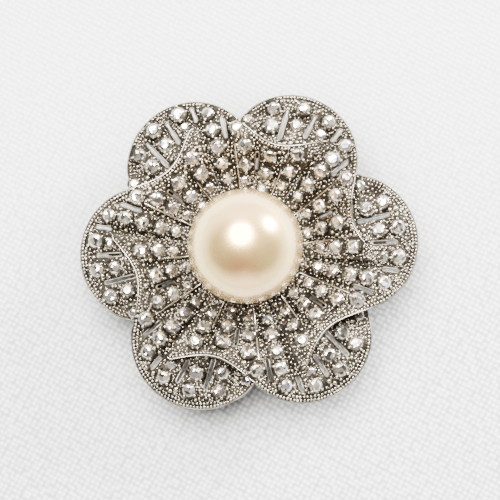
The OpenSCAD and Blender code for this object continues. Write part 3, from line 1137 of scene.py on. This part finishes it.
# Room: how high each colour reaches up the walls, and how much the sides and the back change that
WALL = (0.46, (1.0, 0.96, 0.9, 1))
CEILING = (0.86, (0.02, 0.017, 0.015, 1))
SIDE_RAISE = 0.5
BACK_RAISE = -0.18
ROOM_STRENGTH = 4.0
FLOOR_SIZE = 1.6
FLOOR_GAP = 0.02


def soft_light(aim, name, direction, distance, size, power, colour):
    """A round soft light at that distance from aim."""
    light = bpy.data.lights.new(name, "AREA")
    light.shape = "DISK"
    light.size = size
    light.energy = power
    light.color = colour
    obj = bpy.data.objects.new(name, light)
    bpy.context.scene.collection.objects.link(obj)
    towards = Vector(direction).normalized()
    obj.location = aim + towards * distance
    obj.rotation_euler = towards.to_track_quat("Z", "Y").to_euler()


def room():
    """A studio with pale walls, higher in front and behind than at the sides, and a dim ceiling."""
    world = bpy.data.worlds.new("Room")
    world.use_nodes = True
    tree = world.node_tree
    split = tree.nodes.new("ShaderNodeSeparateXYZ")
    tree.links.new(tree.nodes.new("ShaderNodeTexCoord").outputs["Generated"], split.inputs[0])

    def calculate(operation, a, b):
        node = tree.nodes.new("ShaderNodeMath")
        node.operation = operation
        for socket, value in zip(node.inputs, (a, b)):
            if isinstance(value, float):
                socket.default_value = value
            else:
                tree.links.new(value, socket)
        return node.outputs[0]

    sideways = calculate("MULTIPLY", calculate("ABSOLUTE", split.outputs["X"], 0.0), SIDE_RAISE)
    behind = calculate("MULTIPLY", split.outputs["Y"], BACK_RAISE)
    up = calculate("ADD", calculate("ADD", split.outputs["Z"], sideways), behind)
    ramp = tree.nodes.new("ShaderNodeValToRGB")
    tree.links.new(up, ramp.inputs["Fac"])
    tree.links.new(ramp.outputs["Color"], tree.nodes["Background"].inputs["Color"])
    walls, ceiling = ramp.color_ramp.elements
    walls.position, walls.color = WALL
    ceiling.position, ceiling.color = CEILING
    tree.nodes["Background"].inputs["Strength"].default_value = ROOM_STRENGTH
    return world


class HAIRCLIP_OT_stage(bpy.types.Operator):
    """Lay the pale floor, hang the soft lights and set the camera"""
    bl_idname = "hairclip.stage"
    bl_label = "Stage"

    def execute(self, context):
        deselect()
        bpy.ops.mesh.primitive_plane_add(size=FLOOR_SIZE, location=(0, 0, -FLOOR_GAP * MM))
        floor = named(bpy.context.object, "floor")
        floor.data.materials.append(material("Pale cloth", pale_cloth))
        aim = Vector(VIEW_AIM) * MM
        for light in LIGHTS:
            soft_light(aim, *light)
        context.scene.world = room()
        tilt, side = math.radians(VIEW_TILT), math.radians(VIEW_SIDE)
        back = Vector((math.sin(tilt) * math.cos(side), math.sin(tilt) * math.sin(side), math.cos(tilt)))
        right = Vector((0, 1, 0)).cross(back).normalized()
        camera = bpy.data.objects.new("camera", bpy.data.cameras.new("camera"))
        context.scene.collection.objects.link(camera)
        turn = Matrix((right, back.cross(right), back)).transposed()
        camera.matrix_world = Matrix.Translation(aim + back * VIEW_DISTANCE * MM) @ turn.to_4x4()
        camera.data.lens = camera.data.sensor_width * VIEW_DISTANCE / VIEW_WIDTH
        camera.data.clip_start = 0.01
        context.scene.camera = camera
        return {"FINISHED"}


# ---------------------------------------------------------------- panel and registration

class HAIRCLIP_PT_panel(bpy.types.Panel):
    """Sizes, finishes and building steps of the flower hair clip"""
    bl_idname = "HAIRCLIP_PT_panel"
    bl_label = "Flower Hair Clip"
    bl_space_type = "VIEW_3D"
    bl_region_type = "UI"
    bl_category = "Hair Clip"

    def draw(self, context):
        for group in (context.scene.flower_sizes, context.scene.stone_sizes, context.scene.clip_finishes):
            box = self.layout.box()
            for key in group.__annotations__:
                box.prop(group, key)
        for step in STEPS:
            self.layout.operator(step.bl_idname)


GROUPS = (FlowerSizes, StoneSizes, Finishes)
STEPS = (
    HAIRCLIP_OT_petals, HAIRCLIP_OT_large_stones, HAIRCLIP_OT_small_stones, HAIRCLIP_OT_pearl,
    HAIRCLIP_OT_mount, HAIRCLIP_OT_arms, HAIRCLIP_OT_hinge_pin, HAIRCLIP_OT_spring, HAIRCLIP_OT_stage,
)


def register():
    for cls in (*GROUPS, *STEPS, HAIRCLIP_PT_panel):
        bpy.utils.register_class(cls)
    bpy.types.Scene.flower_sizes = PointerProperty(type=FlowerSizes)
    bpy.types.Scene.stone_sizes = PointerProperty(type=StoneSizes)
    bpy.types.Scene.clip_finishes = PointerProperty(type=Finishes)


def unregister():
    del bpy.types.Scene.clip_finishes
    del bpy.types.Scene.stone_sizes
    del bpy.types.Scene.flower_sizes
    for cls in reversed((*GROUPS, *STEPS, HAIRCLIP_PT_panel)):
        bpy.utils.unregister_class(cls)


def main():
    register()
    bpy.ops.hairclip.petals()
    bpy.ops.hairclip.large_stones()
    bpy.ops.hairclip.small_stones()
    bpy.ops.hairclip.pearl()
    bpy.ops.hairclip.mount()
    bpy.ops.hairclip.arms()
    bpy.ops.hairclip.hinge_pin()
    bpy.ops.hairclip.spring()
    bpy.ops.hairclip.stage()


if __name__ == "__main__":
    main()
